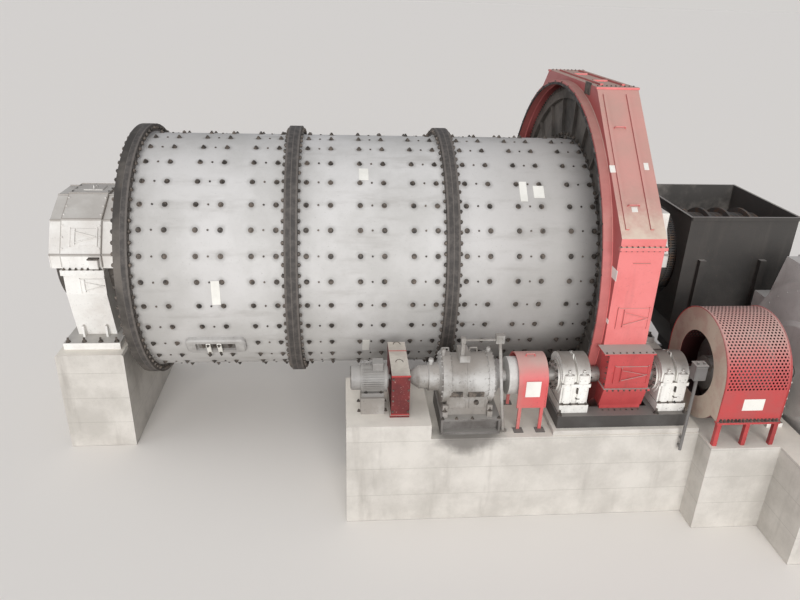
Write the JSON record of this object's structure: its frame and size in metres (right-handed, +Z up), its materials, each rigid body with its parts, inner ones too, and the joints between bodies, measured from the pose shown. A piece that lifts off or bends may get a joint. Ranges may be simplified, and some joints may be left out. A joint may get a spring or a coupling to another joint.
{
  "type": "ball mill",
  "caption": "Horizontal overflow grinding mill: flanged drum on trunnion bearings and piers, girth gear and pinion drive with inching drive, clutch, motor and discharge hopper.",
  "frame": {"origin": "on the floor under the centre of the discharge trunnion bearing, at the foot of its concrete pier", "axes": "+X along the drum from the feed end to the discharge end, +Y away from the drive line, +Z up"},
  "size_m": [17.329, 9.9642, 7.935],
  "materials": {
    "concrete": "rough cast concrete, dusty",
    "cream_paint": "satin cream paint, dusty",
    "grey_paint": "satin mid grey paint, dusty",
    "shell_paint": "matt light grey paint, dusty",
    "dark_steel": "dark, oily and dusty",
    "red_paint": "satin red paint, dusty",
    "black_paint": "satin black paint",
    "rubber_seal": "matt",
    "bright_steel": "machined and oiled"
  },
  "bodies": {
    "fixed": {"feed_pier": "concrete", "discharge_pier": "concrete", "drive_block": "concrete", "motor_block": "concrete", "feed_bearing_base": "cream_paint", "feed_bearing_cap": "cream_paint", "discharge_bearing_base": "cream_paint", "discharge_bearing_cap": "cream_paint", "gear_guard_upper": "red_paint", "gear_guard_lower": "red_paint", "gear_guard_seal": "rubber_seal", "pinion_guard": "red_paint", "pinion_sole_plate": "grey_paint", "pinion_bearing_inner": "cream_paint", "pinion_bearing_outer": "cream_paint", "coupling_guard": "red_paint", "inching_reducer": "grey_paint", "reducer_base": "grey_paint", "lever_post": "grey_paint", "inching_drive_guard": "red_paint", "inching_motor": "grey_paint", "inching_motor_stand": "grey_paint", "clutch_guard": "red_paint", "clutch_guard_stand": "red_paint", "junction_post": "grey_paint", "main_motor": "grey_paint", "motor_bearing_inner": "cream_paint", "motor_bearing_outer": "cream_paint", "hopper": "black_paint", "hopper_stand": "black_paint"},
    "drum": {"shell_feed": "shell_paint", "shell_middle": "shell_paint", "shell_discharge": "shell_paint", "feed_head": "dark_steel", "feed_trunnion": "dark_steel", "discharge_head": "dark_steel", "discharge_trunnion": "dark_steel", "feed_spout_liner": "dark_steel", "girth_gear": "dark_steel", "manhole_cover": "dark_steel", "trommel": "dark_steel"},
    "pinion_line": {"pinion": "bright_steel", "coupling_drum": "bright_steel", "clutch_drum": "bright_steel", "motor_shaft": "bright_steel"}
  },
  "joints": [
    {"name": "drum_spin", "type": "hinge", "parent": "fixed", "child": "drum", "pos_m": [0, 0, 4], "axis": [1, 0, 0], "continuous": true},
    {"name": "pinion_spin", "type": "hinge", "parent": "fixed", "child": "pinion_line", "pos_m": [0, -3.80418, 2.83695], "axis": [1, 0, 0], "continuous": true}
  ],
  "couplings": [
    {"joint": "pinion_spin", "follows": "drum_spin", "ratio": -12}
  ]
}
